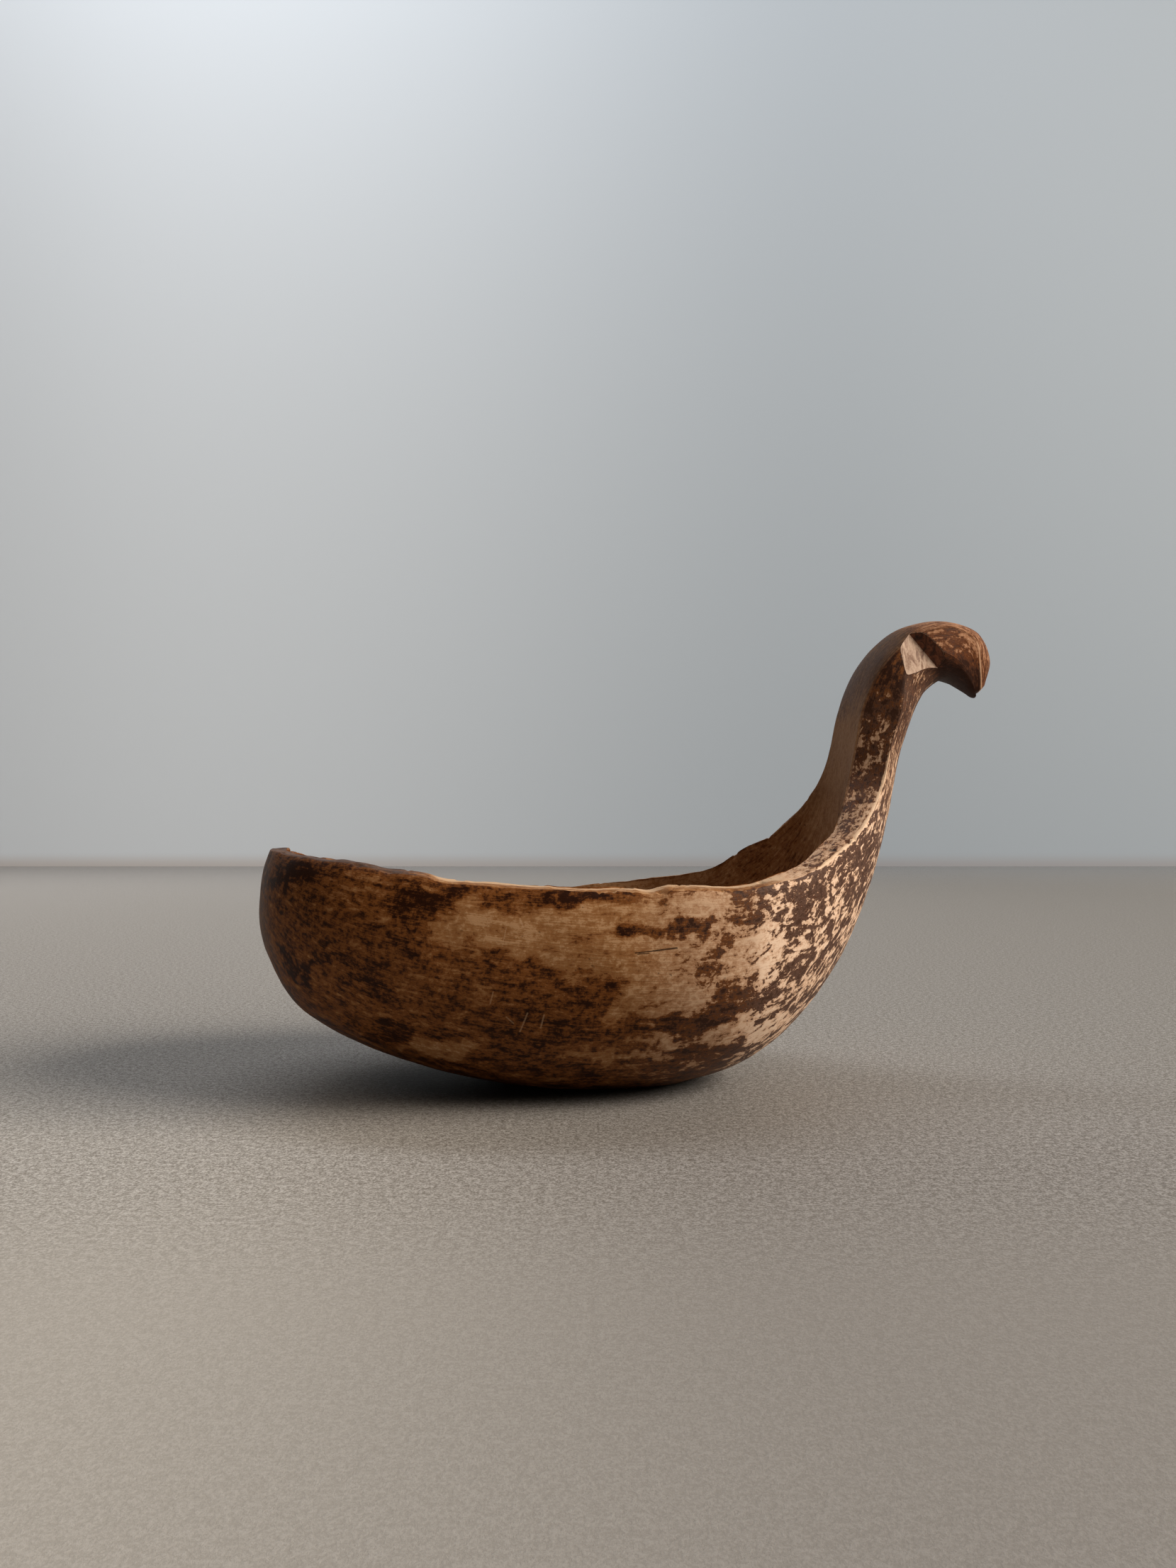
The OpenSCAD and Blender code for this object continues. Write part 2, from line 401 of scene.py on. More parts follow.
def patch_shape(points, x, z, half_length, half_height):
    """1 in the middle of a patch, 0 outside it."""
    d = np.hypot((points[..., 0] - x) / half_length, (points[..., 2] - z) / half_height)
    return 1 - smooth(d, 0.75, 1.25)


def patches_at(points, worn, dark):
    """What the patches of one side add to the wear."""
    added = sum(patch_shape(points, *patch) for patch in worn)
    taken = sum(amount * patch_shape(points, *patch) for *patch, amount in dark)
    return PATCH_WEAR * np.minimum(added, 1) - taken


class WearGrid:
    """The grid of rings as its wear sees it: where each point is, and the share, from 0 to 1,
    in which it belongs to each part."""

    def __init__(self, ring, t):
        self.ring = ring
        self.x, self.y, self.z = (ring[..., axis] for axis in range(3))
        grid = np.zeros(ring.shape[:2])
        self.place = t[:, None] + grid
        self.inner = ring_mask(FAR_INNER, NEAR_INNER)[None, :] + grid
        far_side = ring_mask(FAR_EDGE + 1, FAR_INNER - 1)
        self.side = np.maximum(far_side, ring_mask(NEAR_INNER + 1, AROUND))[None, :] + grid
        self.outer = 1 - np.maximum(self.inner, self.side)
        self.back = self.outer * smooth(self.x, *BACK_X)
        self.neck = self.side * smooth(self.place, *NECK_PLACE)
        self.neck_top = smooth(self.place, *NECK_TOP)
        self.head = smooth(self.place, *HEAD_PLACE)
        self.rim = self.side * (1 - smooth(self.place, *RIM_ENDS))
        self.rubbed_rim = smooth(self.x, *RUBBED_X)


def outside_wear(g):
    """Worn and dark patches on the sides, and the flaked back."""
    drift = np.stack([noise_of(g.ring, 11, 5, 31.0) * DRIFT_X, 0 * g.y,
                      noise_of(g.ring, 8, 5, 47.0) * DRIFT_Z], -1)
    near, far = (patches_at(g.ring + drift, worn, dark)
                 for worn, dark in ((NEAR_WORN, NEAR_DARK), (FAR_WORN, FAR_DARK)))
    patches = np.where(g.y < 0, near, far) * smooth(np.abs(g.y), *SIDE_PATCHES)
    on_back = BACK_WEAR * g.back * (1 - smooth(g.place, 11, 13))
    return g.outer * patches * (1 - BACK_PATCHES * g.back) + on_back


def inside_wear(g):
    """Paler towards the neck's foot, painted light under the far rim, darker up the neck."""
    foot, up_neck = smooth(g.place, 8, 10), smooth(g.place, 12.2, 13.8)
    # Painted light: the far inside wall under the far rim made paler, where the lamps only graze
    # it.
    far_wall_painted_light = smooth(g.y, 20, 50) * smooth(g.z, 42, 56) * (1 - smooth(g.x, 34, 60))
    blotches = noise_of(g.ring, 26, 3, 61.0)
    return g.inner * (INSIDE_WEAR + FOOT_WEAR * foot + NECK_INSIDE_WEAR * up_neck
                      + UNDER_FAR_RIM_PAINTED_LIGHT * far_wall_painted_light + INSIDE_NOISE * blotches)


def side_wear(g):
    """The neck's side, paler low down and dark near the head; the head, darker underneath
    with patina and painted shade; and the rim.
    """
    low = 1 - smooth(g.place, 9.4, 11.2)
    on_neck = g.neck * (NECK_LOW_WEAR * low + NECK_WEAR * (1 - low)
                        + NECK_TOP_WEAR * g.neck_top * (1 - g.head))
    # Under the head: darker patina together with painted shade, where the head turns downward.
    under_head_patina_and_shade = (1 - 0.7 * g.inner) * smooth(g.z, 127, 119)
    on_head = g.head * (HEAD_WEAR + UNDER_HEAD_PATINA_AND_SHADE * under_head_patina_and_shade)
    on_rim = g.rim * (RIM_WEAR * g.rubbed_rim + FRONT_RIM_WEAR * (1 - g.rubbed_rim))
    return on_neck + on_head + on_rim


def flaking(g):
    """Most at the back of the bowl and low on the neck."""
    flaky = np.clip(g.back + SIDE_FLAKES * g.outer * smooth(g.x, *FLAKES_X), 0, 1)
    flaky *= 1 - FEWER_UP_BACK * smooth(g.place, 9.6, 11.5)
    on_neck = g.neck * (NECK_FLAKES - FEWER_NEAR_HEAD * g.neck_top)
    flaky = np.maximum(flaky, on_neck)
    return flaky + (HEAD_FLAKES - flaky) * g.head


def rubbed_distance(g):
    """Distance in mm from an arris that hands rub, or more where they don't."""
    past_rim = smooth(g.place, 6.8, 7.6)
    rubbed = (RIM_RUBBED + (1 - RIM_RUBBED) * past_rim) * g.rubbed_rim
    rubbed = rubbed * (1 - smooth(g.place, 11.6, 12.8))
    edge = distance_to(g.ring, (0, FAR_EDGE)) + OFF_EDGE * (1 - rubbed)
    off_beak = OFF_EDGE * (1 - smooth(g.place, *BEAK_PLACE))
    edge = np.minimum(edge, distance_to(g.ring, (FAR_INNER, NEAR_INNER)) + off_beak)
    bare = RIM_BARE_SHARE * rim_drop(g.x, [(c, h, 1.0) for c, h in RIM_BARE]) * (g.y < 0)
    across = (RIM_OUTER - RIM_CREST) * across_rim()[None, :] * (1 - bare)
    on_rim = RIM_CREST + across + RIM_FAR * (g.y > 0)
    return edge + (on_rim - edge) * g.rim + OFF_EDGE * g.rim * (1 - smooth(g.x, *FRONT_RIM_X))


def painted_sheen_at(g):
    """Painted sheen, a grey reflection: on the inside of the neck, the bowl's front tip and
    the front of the rim.
    """
    painted_sheen = g.inner * smooth(g.place, 9, 11) * (1 - g.head)
    # Painted sheen on the bowl's front tip and the front of the rim.
    tip = FRONT_TIP_SHEEN * g.outer * smooth(g.x, *FRONT_TIP_X)
    return np.maximum(painted_sheen, tip + FRONT_RIM_SHEEN * g.rim * (1 - g.rubbed_rim))


def wear_fields(ring, t):
    """What the patina needs to know about every point of the grid.

    worn: how much patina has gone, with painted shade under the head and painted light
    under the far rim; flaky: how far it comes off in flakes; edge: distance in mm from a
    rubbed edge; head: on the hooked head; painted_sheen: where a grey reflection is painted.
    """
    g = WearGrid(ring, t)
    return {"worn": BODY_WEAR + outside_wear(g) + inside_wear(g) + side_wear(g),
            "flaky": flaking(g), "edge": rubbed_distance(g), "head": g.head,
            "painted_sheen": painted_sheen_at(g)}


# ---------------------------------------------------------------------------------------
# Mesh
# ---------------------------------------------------------------------------------------
# The dome that closes the tip of the beak: the size of each of its rings and its rise as
# shares of the last ring's and of the dome's height in mm, and how far apart they count as
CAP_RINGS = ((0.82, 0.35), (0.5, 0.75), (0.2, 0.95))
CAP_HEIGHT = 0.6
CAP_OUTWARD = np.array([0.25, 0, -1.0])
CAP_STEP = 0.7


def cap_rings(last):
    """Rings that close the tip of the beak with a small dome."""
    middle = last.mean(0)
    return [middle + (last - middle) * scale + CAP_OUTWARD * CAP_HEIGHT * rise
            for scale, rise in CAP_RINGS]


def grid_faces(count):
    """Quads between that many rings, by the index of their points."""
    i, k = np.meshgrid(np.arange(count - 1), np.arange(AROUND), indexing="ij")
    n = (k + 1) % AROUND
    return np.stack([i * AROUND + k, (i + 1) * AROUND + k, (i + 1) * AROUND + n,
                     i * AROUND + n], -1).reshape(-1, 4)


def scoop_mesh():
    """The carving as a mesh in metres, with its wear fields, flow and bake UVs."""
    t, along = even_places()
    ring = soften_arrises(rings_at(t), t)
    ring[0] = rings_at(t[:1])[0]
    ring[1:] = weathered(ring, t)[1:]
    ring = np.concatenate([ring, cap_rings(ring[-1])])
    t = np.concatenate([t, np.full(len(CAP_RINGS), LAST)])
    past_end = np.arange(1, len(CAP_RINGS) + 1) * CAP_STEP
    along = np.concatenate([along, along[-1] + past_end])
    ring[..., 2] = np.maximum(ring[..., 2] - KEEL_WEAR, 0)
    fields = wear_fields(ring, t)
    flow = np.stack(np.broadcast_arrays(along[:, None], grain_around()[None, :], 0.0), -1) * MM

    mesh = bpy.data.meshes.new("scoop_carving")
    faces = grid_faces(len(ring))
    end = [(len(ring) - 1) * AROUND + k for k in range(AROUND)]
    mesh.from_pydata((ring.reshape(-1, 3) * MM).tolist(), [], faces.tolist() + [end[::-1]])
    for name, values in fields.items():
        layer = mesh.attributes.new(name, "FLOAT", "POINT")
        layer.data.foreach_set("value", values.astype(np.float32).ravel())
    layer = mesh.attributes.new("flow", "FLOAT_VECTOR", "POINT")
    layer.data.foreach_set("vector", flow.astype(np.float32).ravel())
    add_bake_uvs(mesh, len(ring))
    return mesh


# The share of the bake's height that the rings take, and the margin left beside them
UV_SHARE = 0.93
UV_MARGIN = 0.002


def add_bake_uvs(mesh, count):
    """Unrolls the rings: along the scoop to the right, round it upwards."""
    loops = np.zeros(len(mesh.loops), int)
    mesh.loops.foreach_get("vertex_index", loops)
    i, k = loops // AROUND, loops % AROUND
    wraps = np.zeros(len(loops), bool)
    quads = 4 * (count - 1) * AROUND
    corner = np.arange(quads) % 4
    last = (np.arange(quads) // 4) % AROUND == AROUND - 1
    wraps[:quads] = last & (corner >= 2)
    k = np.where(wraps, AROUND, k)
    uv = np.stack([UV_MARGIN + (1 - 2 * UV_MARGIN) * i / (count - 1),
                   UV_MARGIN + UV_SHARE * k / AROUND], -1)
    uv[quads:] = [1 - UV_MARGIN / 2, UV_MARGIN / 2]
    layer = mesh.uv_layers.new(name="OFBake")
    layer.data.foreach_set("uv", uv.astype(np.float32).ravel())


# The notch behind the head: its valley as x, distance from the middle plane, z, and the
# lines on the side that its two walls reach, in mm
NOTCH_VALLEY = [(90, 11.0, 134), (104, 8.2, 120)]
NOTCH_LOWER = (90, 13.4, 118.5)
NOTCH_UPPER = (97.8, 12.9, 131)
# How many times as far as the side the wedge's walls run
NOTCH_REACH = 1.8
# The wedge's face that cuts the notch's upper wall
UPPER_WALL = 3
# In the bake, above the rings: where the walls begin, the step from one to the next, what the
# far side adds, and the size of one
CUT_UV, CUT_UV_STEP, CUT_UV_FAR, CUT_UV_SIZE = (0.05, 0.95), 0.1, 0.45, (0.08, 0.04)


def notch_cutter(side):
    """A wedge whose edge lies in the notch's valley, on the near (-1) or far (1) side."""
    v = [Vector((x, side * y, z - KEEL_WEAR)) for x, y, z in NOTCH_VALLEY]
    run = (v[1] - v[0]).normalized()
    walls = []
    for x, y, z in (NOTCH_LOWER, NOTCH_UPPER):
        d = Vector((x, side * y, z - KEEL_WEAR)) - v[0]
        walls.append((d - d.dot(run) * run) * NOTCH_REACH)
    points = [v[0], v[1], v[0] + walls[0], v[1] + walls[0], v[0] + walls[1], v[1] + walls[1]]
    faces = [(0, 4, 2), (1, 3, 5), (0, 2, 3, 1), (0, 1, 5, 4), (2, 4, 5, 3)]
    if side < 0:
        faces = [f[::-1] for f in faces]
    mesh = bpy.data.meshes.new("notch_cutter")
    mesh.from_pydata([p * MM for p in points], [], faces)
    mesh.polygons[UPPER_WALL].material_index = 1
    uvs = mesh.uv_layers.new(name="OFBake")
    for face in mesh.polygons:
        for corner, loop in enumerate(face.loop_indices):
            u = CUT_UV[0] + CUT_UV_STEP * face.index + (CUT_UV_FAR if side > 0 else 0)
            uvs.data[loop].uv = (u + CUT_UV_SIZE[0] * (corner % 2),
                                 CUT_UV[1] + CUT_UV_SIZE[1] * (corner // 2))
    return mesh


def add_object(name, mesh):
    obj = bpy.data.objects.new(name, mesh)
    bpy.context.scene.collection.objects.link(obj)
    return obj


def cut_notches(obj, lower, upper):
    """Takes both notches out of the head; each wall keeps the cutter's material for it."""
    cutters = []
    for side in (-1, 1):
        cutter = add_object("cutter", notch_cutter(side))
        cutter.data.materials.append(lower)
        cutter.data.materials.append(upper)
        cutters.append(cutter)
        cut = obj.modifiers.new("notch", "BOOLEAN")
        cut.operation, cut.solver, cut.object = "DIFFERENCE", "MANIFOLD", cutter
        cut.material_mode = "TRANSFER"
    graph = bpy.context.evaluated_depsgraph_get()
    made = bpy.data.meshes.new_from_object(obj.evaluated_get(graph))
    obj.modifiers.clear()
    obj.data = made
    for cutter in cutters:
        bpy.data.objects.remove(cutter)


# Points closer than the first and edges shorter than the second are taken out, in metres
DOUBLED, DEGENERATE = 2e-6, 1e-6
# Angle in degrees above which an edge is shaded as an arris
ARRIS_ANGLE = 40


def tidy_mesh(mesh):
    """Merges the doubled points at the tip and shades the faces smooth."""
    bm = bmesh.new()
    bm.from_mesh(mesh)
    bmesh.ops.remove_doubles(bm, verts=bm.verts, dist=DOUBLED)
    bmesh.ops.dissolve_degenerate(bm, dist=DEGENERATE, edges=bm.edges)
    bmesh.ops.recalc_face_normals(bm, faces=bm.faces)
    bm.to_mesh(mesh)
    bm.free()
    mesh.polygons.foreach_set("use_smooth", [True] * len(mesh.polygons))


# ---------------------------------------------------------------------------------------
# Materials
# ---------------------------------------------------------------------------------------
def colour(code):
    """A linear colour from a six-digit sRGB code."""
    parts = [int(code[i:i + 2], 16) / 255 for i in (0, 2, 4)]
    return tuple(c / 12.92 if c <= 0.04045 else ((c + 0.055) / 1.055) ** 2.4
                 for c in parts) + (1.0,)


# Shares of a drawn line's width, and of a hole's radius, at which it begins and ends to fade
LINE_CORE, LINE_EDGE = 0.3, 0.7
HOLE_CORE = 0.7


class Shader:
    """Builds a material's nodes; an input is a value or another node's output."""

    def __init__(self, name):
        self.material = bpy.data.materials.new(name)
        self.material.use_nodes = True
        self.tree = self.material.node_tree
        self.tree.nodes.clear()

    def node(self, kind, inputs=(), **settings):
        made = self.tree.nodes.new(kind)
        for key, value in settings.items():
            setattr(made, key, value)
        for key, value in dict(inputs).items():
            if isinstance(value, bpy.types.NodeSocket):
                self.tree.links.new(value, made.inputs[key])
            else:
                made.inputs[key].default_value = value
        return made

    def math(self, operation, a, b=0.0, c=0.0):
        made = self.node("ShaderNodeMath", {0: a, 1: b, 2: c}, operation=operation)
        return made.outputs[0]

    def vector(self, operation, a, b):
        made = self.node("ShaderNodeVectorMath", {0: a, 1: b}, operation=operation)
        return made.outputs[0]

    def field(self, name):
        made = self.node("ShaderNodeAttribute", attribute_name=name)
        return made.outputs["Vector" if name == "flow" else "Fac"]

    def noise(self, place, scale, detail=3.0, roughness=0.5, distortion=0.0):
        """Noise from 0 to 1 with that many features a metre, as one number or three."""
        if isinstance(scale, tuple):
            place, scale = self.vector("MULTIPLY", place, scale), 1.0
        made = self.node("ShaderNodeTexNoise", {
            "Vector": place, "Scale": scale, "Detail": detail, "Roughness": roughness,
            "Distortion": distortion})
        return made.outputs["Fac"]

    def step(self, value, low, high, to_low=0.0, to_high=1.0):
        """to_low at low, to_high at high, with soft ends; high may be the smaller one."""
        made = self.node("ShaderNodeMapRange", {
            "Value": value, "From Min": low, "From Max": high, "To Min": to_low,
            "To Max": to_high}, interpolation_type="SMOOTHSTEP")
        return made.outputs["Result"]

    def mix(self, share, a, b, blend="MIX"):
        """Colour a where share is 0, b where it is 1."""
        made = self.node("ShaderNodeMix", data_type="RGBA", blend_type=blend)
        for socket, value in ((made.inputs[0], share), (made.inputs[6], a),
                              (made.inputs[7], b)):
            if isinstance(value, bpy.types.NodeSocket):
                self.tree.links.new(value, socket)
            else:
                socket.default_value = value
        return made.outputs[2]

    def add(self, base, value, weight):
        """Adds a noise, centred on 0, times its weight."""
        centred = self.math("SUBTRACT", value, 0.5)
        return self.math("MULTIPLY_ADD", centred, weight, base)

    def coordinates(self):
        """The object's own coordinates, in metres."""
        return self.node("ShaderNodeTexCoord").outputs["Object"]

    def axis(self, place, name):
        """The X, Y or Z of a vector."""
        return self.node("ShaderNodeSeparateXYZ", {0: place}).outputs[name]

    def blend(self, share, a, b):
        """a where share is 0, b where it is 1, for numbers."""
        difference = self.math("SUBTRACT", b, a)
        return self.math("MULTIPLY_ADD", difference, share, a)

    def ramp(self, value, stops):
        """A colour ramp through the stops, each a position and a colour."""
        made = self.node("ShaderNodeValToRGB", {0: value})
        elements = made.color_ramp.elements
        elements[0].position, elements[0].color = stops[0]
        elements[1].position, elements[1].color = stops[-1]
        for position, shade in stops[1:-1]:
            elements.new(position).color = shade
        return made.outputs[0]

    def bump(self, height, distance, strength=1.0, normal=None):
        inputs = {"Height": height, "Distance": distance, "Strength": strength}
        if normal is not None:
            inputs["Normal"] = normal
        return self.node("ShaderNodeBump", inputs).outputs[0]

    def surface(self, **inputs):
        """The principled shader and the output."""
        shader = self.node("ShaderNodeBsdfPrincipled",
                           {key.replace("_", " "): value for key, value in inputs.items()})
        self.node("ShaderNodeOutputMaterial", {"Surface": shader.outputs[0]})
        return self.material

    def distance(self, place, point):
        made = self.node("ShaderNodeVectorMath", {0: place, 1: point}, operation="DISTANCE")
        return made.outputs["Value"]

    def segment(self, place, a, b, width):
        """1 on a line from a to b (metres) that is that wide, fading at its edges."""
        a, b = Vector(a), Vector(b)
        run = b - a
        from_a = self.vector("SUBTRACT", place, tuple(a))
        dot = self.node("ShaderNodeVectorMath", {0: from_a, 1: tuple(run / run.length_squared)},
                        operation="DOT_PRODUCT").outputs["Value"]
        share = self.math("MINIMUM", self.math("MAXIMUM", dot, 0.0), 1.0)
        onto = self.node("ShaderNodeVectorMath", {0: tuple(run), "Scale": share},
                         operation="SCALE").outputs[0]
        off = self.node("ShaderNodeVectorMath", {0: from_a, 1: onto},
                        operation="DISTANCE").outputs["Value"]
        return self.step(off, width * LINE_CORE, width * LINE_EDGE, 1.0, 0.0)


# Fine marks on the near side of the bowl: the x and z of two ends, and the width, in mm
CRACKS = [(-1, 42.3, 4.2, 42.75, 0.2), (3.4, 42.7, 9.2, 43.3, 0.3),
          (-0.4, 42.0, 2.4, 42.2, 0.16)]
SCRATCHES = [(-27.5, 22.5, -26, 27.5, 0.4), (-31, 26.5, -29.2, 24.8, 0.35),
             (-22.6, 23.5, -22, 27, 0.4), (-27.6, 48.6, -28.4, 50.6, 0.4),
             (-32.4, 44.5, -31.6, 48.5, 0.25), (-35, 30, -34.4, 33, 0.3)]
# Worm holes: centre and radius in mm
HOLES = [(10.3, -58.6, 28.6, 0.6), (56.4, -41.5, 66.4, 1.1), (56.6, -40.5, 69.5, 0.9)]
# The fine marks lie only nearer than this, in metres
MARKS_FROM = -0.03


def fine_marks(s, place):
    """The cracks with the worm holes, and the scratches, each 1 on the mark."""
    flat = s.vector("MULTIPLY", place, (1.0, 0.0, 1.0))
    near = s.math("LESS_THAN", s.axis(place, "Y"), MARKS_FROM)
    made = []
    for lines in (CRACKS, SCRATCHES):
        mark = 0.0
        for x0, z0, x1, z1, width in lines:
            line = s.segment(flat, (x0 * MM, 0, z0 * MM), (x1 * MM, 0, z1 * MM), width * MM)
            mark = s.math("MAXIMUM", mark, line)
        made.append(s.math("MULTIPLY", mark, near))
    for x, y, z, radius in HOLES:
        off = s.distance(place, (x * MM, y * MM, z * MM))
        pit = s.step(off, radius * HOLE_CORE * MM, radius * MM, 1.0, 0.0)
        made[0] = s.math("MAXIMUM", made[0], pit)
    return made


# Shades of the patina from whole to worn through, by tone: where it wears thin evenly, and
# where it comes off in flakes
BROWN = [(0.0, "2a1104"), (0.10, "4d2a12"), (0.24, "784820"), (0.45, "84532c"),
         (0.76, "93653c"), (0.92, "a2774f"), (1.0, "b68e68")]
PLUM = [(0.0, "4a3226"), (0.08, "6c5347"), (0.2, "4a2b1c"), (0.36, "6a4c3c"), (0.6, "a8866b"),
        (0.82, "dfba9d"), (1.0, "f2d6bd")]
# Colours laid over them: rubbed arrises, dark dots, scratches and cracks; the painted sheen,
# a grey reflection, from dark to worn; and what the head's colour is multiplied by
RUBBED_WOOD, DARK_DOTS, SCRATCHED, IN_CRACK = "e6c8a6", "24130a", "c9a684", "1e0e06"
SHEEN_SHADES = ("5a3d28", "a07c5c")
HEAD_TINT = "e9b59a"
# How strongly each of these shows
RUBBED_SHARE, DOTS_SHARE, SCRATCH_SHARE, CRACK_SHARE = 0.5, 0.5, 0.33, 0.75
SHEEN_SHARE, HEAD_SHARE = 0.8, 0.35

# The patina's noises: features a metre, or along the grain and across it, then detail,
# roughness and distortion
BLOTCH = (60, 4, 0.6, 0.5)
RAGGED = ((170, 330, 1), 6, 0.76, 0.4)
STREAK = ((55, 420, 1), 6, 0.7, 0.4)
FLAKE = ((165, 200, 1), 5, 0.62, 1.3)
GRAIN = ((90, 2400, 1), 3, 0.6, 0.3)
FINE = (750, 4, 0.7)
DOTS = (700, 2, 0.5)
# The noise at which a dark dot begins and is whole
DOTS_ABOVE = (0.70, 0.76)

# How much the noises move the wear, where it thins evenly and where it comes off in flakes
CALM_BLOTCH, CALM_RAGGED = 0.45, 1.22
ROUGH_BLOTCH, ROUGH_RAGGED, ROUGH_FLAKE = 0.20, 1.35, 1.35
LEVEL_FINE, LEVEL_RUBBED = 0.38, 0.32
# How far along the scoop, in metres, the streaks grow, and from what to what
STREAKS_GROW, STREAKS = (0.05, 0.10), (0.15, 0.60)
# Distance in mm from an arris at which its rubbed line begins and ends to fade, and how much
# the noises move it
RUBBED = (0.15, 0.62)
RUBBED_RAGGED, RUBBED_BLOTCH = 1.8, 1.5
# The wear between which the dark patina gives way, and how much its edge shows in the tone,
# where it is even and where it flakes
GIVES_WAY = (0.465, 0.535)
STEEP = (0.37, 0.52)
TONE_FINE, TONE_GRAIN = 0.60, 0.40
# Roughness of whole and of worn patina, and the noise in it
GLOSS = (0.48, 0.62)
GLOSS_RAGGED = 0.25
# Heights of the relief, as shares of its bump's depth in metres, and the depth of a crack
WORN_DEPTH, GRAIN_HEIGHT, RAGGED_HEIGHT, FINE_HEIGHT = -0.10, 0.10, 0.12, 0.06
RELIEF, RELIEF_STRENGTH = 0.0016, 0.55
CRACK_DEPTH = 0.0012


def worn_level(s, flow, flaky, noises):
    """How worn each point is: its own wear, moved by the noises."""
    blotch, ragged, fine = noises
    worn, along = s.field("worn"), s.axis(flow, "X")
    calm = s.add(s.add(worn, blotch, CALM_BLOTCH), ragged, CALM_RAGGED)
    calm = s.add(calm, s.noise(flow, *STREAK), s.step(along, *STREAKS_GROW, *STREAKS))
    rough = s.add(s.add(worn, blotch, ROUGH_BLOTCH), ragged, ROUGH_RAGGED)
    rough = s.add(rough, s.noise(flow, *FLAKE), ROUGH_FLAKE)
    return s.add(s.blend(flaky, calm, rough), fine, LEVEL_FINE)


def patina_shade(s, tone, flaky, rubbed):
    """The wood's colour, before the fine marks."""
    brown, plum = (s.ramp(tone, [(at, colour(code)) for at, code in stops])
                   for stops in (BROWN, PLUM))
    shade = s.mix(flaky, brown, plum)
    shade = s.mix(s.math("MULTIPLY", rubbed, RUBBED_SHARE), shade, colour(RUBBED_WOOD))
    # Painted sheen: a grey reflection mixed over the wood's colour.
    sheen = s.mix(tone, *map(colour, SHEEN_SHADES))
    shade = s.mix(s.math("MULTIPLY", s.field("painted_sheen"), SHEEN_SHARE), shade, sheen)
    reddish = s.mix(1.0, shade, colour(HEAD_TINT), "MULTIPLY")
    return s.mix(s.math("MULTIPLY", s.field("head"), HEAD_SHARE), shade, reddish)


def patina():
    """Old handled wood: a dark patina worn through to paler wood, streaked along the grain."""
    s = Shader("worn_patina")
    flow, place, flaky = s.field("flow"), s.coordinates(), s.field("flaky")
    blotch, fine = s.noise(place, *BLOTCH), s.noise(place, *FINE)
    ragged, grain = s.noise(flow, *RAGGED), s.noise(flow, *GRAIN)

    from_arris = s.add(s.add(s.field("edge"), ragged, RUBBED_RAGGED), blotch, RUBBED_BLOTCH)
    rubbed = s.step(from_arris, *RUBBED, 1.0, 0.0)
    level = worn_level(s, flow, flaky, (blotch, ragged, fine))
    level = s.math("MULTIPLY_ADD", rubbed, LEVEL_RUBBED, level)
    sharp = s.step(level, *GIVES_WAY)
    tone = s.add(level, sharp, s.blend(flaky, *STEEP))
    tone = s.add(s.add(tone, fine, TONE_FINE), grain, TONE_GRAIN)

    shade = patina_shade(s, tone, flaky, rubbed)
    dark_marks, scratches = fine_marks(s, place)
    dots = s.step(s.noise(place, *DOTS), *DOTS_ABOVE)
    for marks, share, code in ((dots, DOTS_SHARE, DARK_DOTS),
                               (scratches, SCRATCH_SHARE, SCRATCHED),
                               (dark_marks, CRACK_SHARE, IN_CRACK)):
        shade = s.mix(s.math("MULTIPLY", marks, share), shade, colour(code))

    height = s.math("MULTIPLY_ADD", sharp, WORN_DEPTH, s.math("MULTIPLY", grain, GRAIN_HEIGHT))
    height = s.math("MULTIPLY_ADD", ragged, RAGGED_HEIGHT, height)
    height = s.math("MULTIPLY_ADD", fine, FINE_HEIGHT, height)
    normal = s.bump(height, RELIEF, RELIEF_STRENGTH)
    normal = s.bump(s.math("MULTIPLY", dark_marks, -1.0), CRACK_DEPTH, 1.0, normal)
    gloss = s.add(s.blend(sharp, *GLOSS), ragged, GLOSS_RAGGED)
    return s.surface(Base_Color=shade, Roughness=gloss, Normal=normal,
                     Specular_IOR_Level=0.10)


# The cut walls of the notch: their shades, the darker set being painted shade on the upper wall,
# which faces away from the light, and the noise at which each stands; the streaks' noise, the
# fine one and its weight
PALE_CUT = ("5a3a28", "a1806c", "c6aa96", "e4cbb6")
SHADED_CUT = ("1f0e07", "472616", "6b3e28", "8c5a3e")
CUT_STOPS = (0.30, 0.42, 0.54, 0.8)
CUT_STREAKS, CUT_FINE, CUT_FINE_WEIGHT = ((420, 420, 160), 4, 0.6, 1.2), (1400, 3, 0.6), 0.3


def cut_wood(name, shades):
    """A knife-cut wall of the notch, with darker streaks along the cut."""
    s = Shader(name)
    place = s.coordinates()
    level = s.add(s.noise(place, *CUT_STREAKS), s.noise(place, *CUT_FINE), CUT_FINE_WEIGHT)
    stops = zip(CUT_STOPS, (colour(code) for code in shades))
    normal = s.bump(level, 0.0005, 0.5)
    return s.surface(Base_Color=s.ramp(level, list(stops)),
                     Roughness=s.step(level, 0.3, 0.7, 0.5, 0.7),
                     Normal=normal, Specular_IOR_Level=0.25)


# The stage: how far behind the scoop the wall stands, its height and half the floor's width
WALL_BEHIND = 2.33
WALL_HEIGHT = 3.2
FLOOR_HALF = 3.2
# The stage's shades at the left and the right, painted light that falls off from the bright
# left to the darker right, and the painted shade where floor and wall meet
FLOOR_PAINTED_LIGHT = ("dddcdb", "9d9c9a")
WALL_PAINTED_LIGHT = ("d8e2ec", "a4afba")
